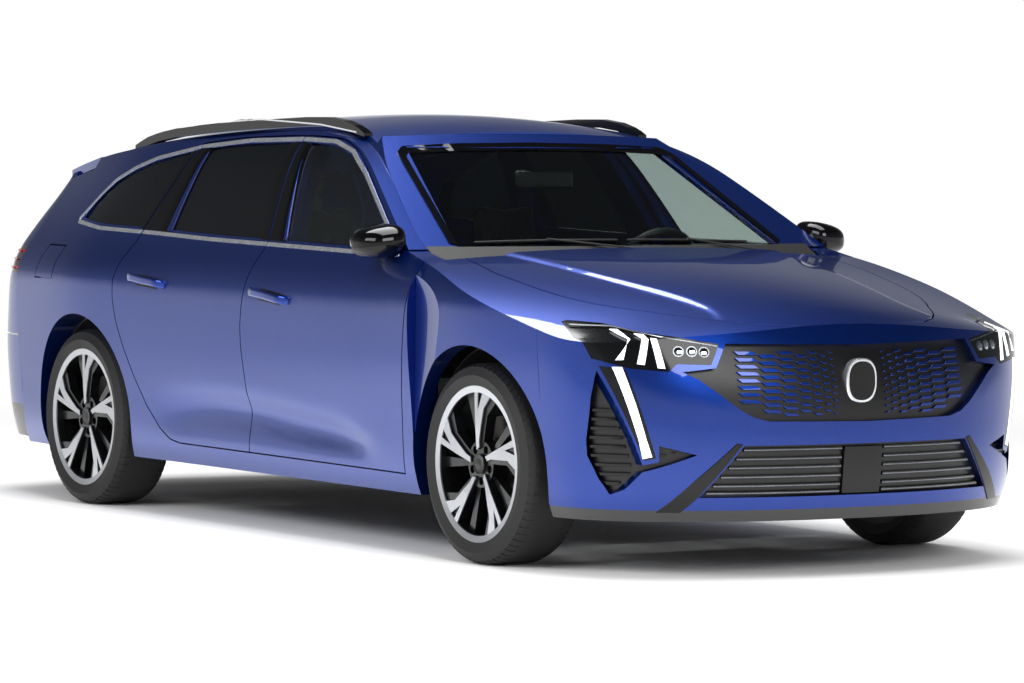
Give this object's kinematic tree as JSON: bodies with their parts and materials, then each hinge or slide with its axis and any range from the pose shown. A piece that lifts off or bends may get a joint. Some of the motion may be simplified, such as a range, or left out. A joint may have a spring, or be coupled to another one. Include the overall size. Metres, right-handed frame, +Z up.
{
  "type": "station wagon",
  "caption": "Five-door station wagon with hinged doors, hood and tailgate, steered front wheels and free-rolling wheels",
  "frame": {"origin": "on the ground, half way along the car and on its centre line", "axes": "+X forward, +Y to the car's left, +Z up"},
  "size_m": [4.622, 1.936, 1.4272],
  "materials": {
    "body_paint": "metallic clear coat",
    "black_trim": "gloss",
    "dark_plastic": "grained",
    "glass": "clear",
    "privacy_glass": "dark tint",
    "lamp_lens": "clear moulded",
    "tail_lens": "red moulded",
    "tyre_rubber": "matt",
    "rim_alloy": "machined and lacquered",
    "cast_iron": "turned",
    "steel": "painted",
    "seat_fabric": "woven"
  },
  "bodies": {
    "body": {"body_side_right": "body_paint", "body_side_left": "body_paint", "front_fenders": "body_paint", "quarter_glass": "privacy_glass", "roof_panel": "body_paint", "windscreen_frame": "body_paint", "windscreen": "glass", "front_bumper": "body_paint", "head_lamps": "lamp_lens", "fang_lamps": "lamp_lens", "side_vents": "black_trim", "grilles": "black_trim", "rear_bumper": "body_paint", "tail_corners": "body_paint", "tail_lamps": "tail_lens", "engine_block": "cast_iron", "floor_pan": "steel", "arch_liners": "dark_plastic", "front_subframe": "steel", "rear_axle": "steel", "exhaust": "steel", "dashboard": "dark_plastic", "front_seats": "seat_fabric", "rear_seat": "seat_fabric", "roof_rails": "black_trim", "antenna_fin": "black_trim"},
    "front_door_left": {"front_door_left": "body_paint", "front_door_glass_left": "glass", "mirror_left": "black_trim"},
    "rear_door_left": {"rear_door_left": "body_paint", "rear_door_glass_left": "privacy_glass"},
    "knuckle_left": {"front_knuckle_left": "cast_iron"},
    "wheel_front_left": {"tyre_front_left": "tyre_rubber", "rim_front_left": "rim_alloy", "brake_disc_front_left": "cast_iron"},
    "wheel_rear_left": {"tyre_rear_left": "tyre_rubber", "rim_rear_left": "rim_alloy", "brake_disc_rear_left": "cast_iron"},
    "front_door_right": {"front_door_right": "body_paint", "front_door_glass_right": "glass", "mirror_right": "black_trim"},
    "rear_door_right": {"rear_door_right": "body_paint", "rear_door_glass_right": "privacy_glass"},
    "knuckle_right": {"front_knuckle_right": "cast_iron"},
    "wheel_front_right": {"tyre_front_right": "tyre_rubber", "rim_front_right": "rim_alloy", "brake_disc_front_right": "cast_iron"},
    "wheel_rear_right": {"tyre_rear_right": "tyre_rubber", "rim_rear_right": "rim_alloy", "brake_disc_rear_right": "cast_iron"},
    "hood": {"hood": "body_paint"},
    "tailgate": {"tailgate": "body_paint", "tailgate_lamps": "tail_lens", "tailgate_glass": "privacy_glass"},
    "fuel_flap": {"fuel_flap": "body_paint"},
    "steering_wheel": {"steering_wheel": "dark_plastic"}
  },
  "joints": [
    {"name": "front_door_left_hinge", "type": "hinge", "parent": "body", "child": "front_door_left", "pos_m": [1.096, 0.905, 0.62], "axis": [0, 0, -1], "range_deg": [0, 68]},
    {"name": "rear_door_left_hinge", "type": "hinge", "parent": "body", "child": "rear_door_left", "pos_m": [0.086, 0.9, 0.62], "axis": [0, 0, -1], "range_deg": [0, 68]},
    {"name": "steer_left", "type": "hinge", "parent": "body", "child": "knuckle_left", "pos_m": [1.437, 0.685, 0.3185], "axis": [0, 0, 1], "range_deg": [-33, 33]},
    {"name": "wheel_front_left_spin", "type": "hinge", "parent": "knuckle_left", "child": "wheel_front_left", "pos_m": [1.437, 0.78, 0.3185], "axis": [0, 1, 0], "continuous": true},
    {"name": "wheel_rear_left_spin", "type": "hinge", "parent": "body", "child": "wheel_rear_left", "pos_m": [-1.295, 0.78, 0.3185], "axis": [0, 1, 0], "continuous": true},
    {"name": "front_door_right_hinge", "type": "hinge", "parent": "body", "child": "front_door_right", "pos_m": [1.096, -0.905, 0.62], "axis": [0, 0, 1], "range_deg": [0, 68]},
    {"name": "rear_door_right_hinge", "type": "hinge", "parent": "body", "child": "rear_door_right", "pos_m": [0.086, -0.9, 0.62], "axis": [0, 0, 1], "range_deg": [0, 68]},
    {"name": "steer_right", "type": "hinge", "parent": "body", "child": "knuckle_right", "pos_m": [1.437, -0.685, 0.3185], "axis": [0, 0, 1], "range_deg": [-33, 33]},
    {"name": "wheel_front_right_spin", "type": "hinge", "parent": "knuckle_right", "child": "wheel_front_right", "pos_m": [1.437, -0.78, 0.3185], "axis": [0, 1, 0], "continuous": true},
    {"name": "wheel_rear_right_spin", "type": "hinge", "parent": "body", "child": "wheel_rear_right", "pos_m": [-1.295, -0.78, 0.3185], "axis": [0, 1, 0], "continuous": true},
    {"name": "hood_hinge", "type": "hinge", "parent": "body", "child": "hood", "pos_m": [1.096, 0, 0.957], "axis": [0, -1, 0], "range_deg": [0, 58]},
    {"name": "tailgate_hinge", "type": "hinge", "parent": "body", "child": "tailgate", "pos_m": [-1.604, 0, 1.327], "axis": [0, 1, 0], "range_deg": [0, 80]},
    {"name": "fuel_flap_hinge", "type": "hinge", "parent": "body", "child": "fuel_flap", "pos_m": [-1.486, -0.893, 0.878], "axis": [0.0797, 0.3767, 0.9229], "range_deg": [0, 85]},
    {"name": "steering_wheel_turn", "type": "hinge", "parent": "body", "child": "steering_wheel", "pos_m": [0.56, 0.37, 0.88], "axis": [-0.9061, 0, 0.423], "range_deg": [-500, 500]}
  ],
  "couplings": [
    {"joint": "steer_right", "follows": "steer_left", "ratio": 1},
    {"joint": "steering_wheel_turn", "follows": "steer_left", "ratio": 15}
  ]
}
